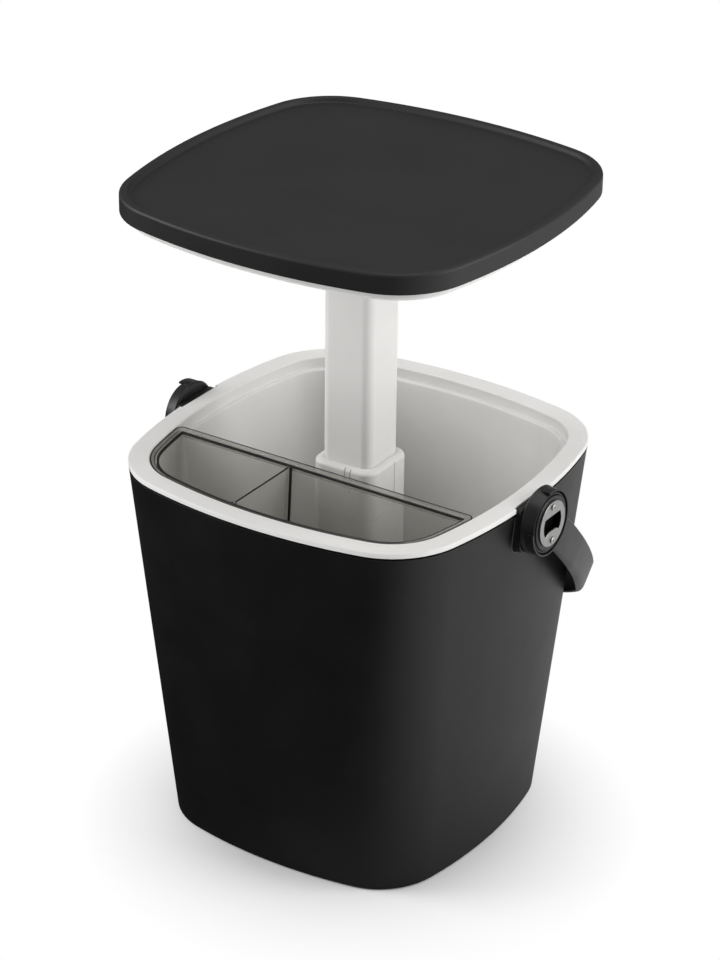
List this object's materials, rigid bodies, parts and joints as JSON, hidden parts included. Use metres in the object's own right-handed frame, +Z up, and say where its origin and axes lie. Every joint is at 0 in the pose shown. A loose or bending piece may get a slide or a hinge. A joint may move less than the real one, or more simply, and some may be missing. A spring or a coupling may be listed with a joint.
{
  "type": "ice bucket coffee table",
  "caption": "Double-walled ice bucket whose lid rises on a post to make a side table, with a hanging condiment tray, a swinging carrying handle and a bottle opener.",
  "frame": {"origin": "on the floor under the middle of the bucket, whose flat base stands on z = 0", "axes": "+X to the side with the bottle opener, +Y to the back where the handle hangs, +Z up along the post; the tray is at the front, -Y"},
  "size_m": [0.4452, 0.4216, 0.686],
  "materials": {
    "black_plastic": "fine matte moulded polypropylene",
    "charcoal_plastic": "fine matte moulded polypropylene",
    "grey_plastic": "satin moulded polypropylene, very light grey",
    "smoke_plastic": "glossy smoke-grey translucent moulding",
    "rubber": "matte black rubber",
    "steel": "dull zinc-plated steel"
  },
  "bodies": {
    "bucket": {"outer_shell": "black_plastic", "inner_liner": "grey_plastic", "post_sleeve": "grey_plastic", "post_collar": "grey_plastic", "bracket_left": "black_plastic", "bracket_right": "black_plastic", "hub_cap_left": "black_plastic", "hub_cap_right": "black_plastic", "opener_plate": "steel", "opener_screw_lower": "steel", "opener_screw_upper": "steel", "cap_screw_left_lower": "steel", "cap_screw_left_upper": "steel", "bracket_screw_left_front": "steel", "bracket_screw_left_back": "steel", "bracket_screw_right_front": "steel", "bracket_screw_right_back": "steel", "base_screw_front_left": "steel", "base_screw_front_right": "steel", "base_screw_back_left": "steel", "base_screw_back_right": "steel", "sleeve_screw_front_left": "steel", "sleeve_screw_front_right": "steel", "sleeve_screw_back_left": "steel", "sleeve_screw_back_right": "steel", "drain_bush": "grey_plastic", "drain_seal": "rubber", "drain_nut": "grey_plastic"},
    "table": {"table_top": "charcoal_plastic", "under_plate": "grey_plastic", "inner_post": "grey_plastic", "foot_guide": "grey_plastic", "guide_pin": "steel", "brake_pad_left": "rubber", "brake_pad_right": "rubber", "plate_screw_front_left": "steel", "plate_screw_front_right": "steel", "plate_screw_back_left": "steel", "plate_screw_back_right": "steel", "head_screw_front_left": "steel", "head_screw_front_right": "steel", "head_screw_back_left": "steel", "head_screw_back_right": "steel"},
    "tray": {"condiment_tray": "smoke_plastic"},
    "divider": {"tray_divider": "smoke_plastic"},
    "handle": {"handle": "black_plastic"},
    "drain_plug": {"drain_plug": "rubber"}
  },
  "joints": [
    {"name": "table_slide", "type": "slide", "parent": "bucket", "child": "table", "axis": [0, 0, 1], "range_m": [-0.2516, 0]},
    {"name": "handle_swing", "type": "hinge", "parent": "bucket", "child": "handle", "pos_m": [0, 0, 0.382], "axis": [1, 0, 0], "range_deg": [0, 105]},
    {"name": "tray_lift", "type": "slide", "parent": "bucket", "child": "tray", "axis": [0, 0, 1], "range_m": [0, 0.06]},
    {"name": "divider_lift", "type": "slide", "parent": "tray", "child": "divider", "axis": [0, 0, 1], "range_m": [0, 0.06]},
    {"name": "drain_plug_pull", "type": "slide", "parent": "bucket", "child": "drain_plug", "axis": [0, 0.9956, -0.0936], "range_m": [0, 0.02]}
  ]
}
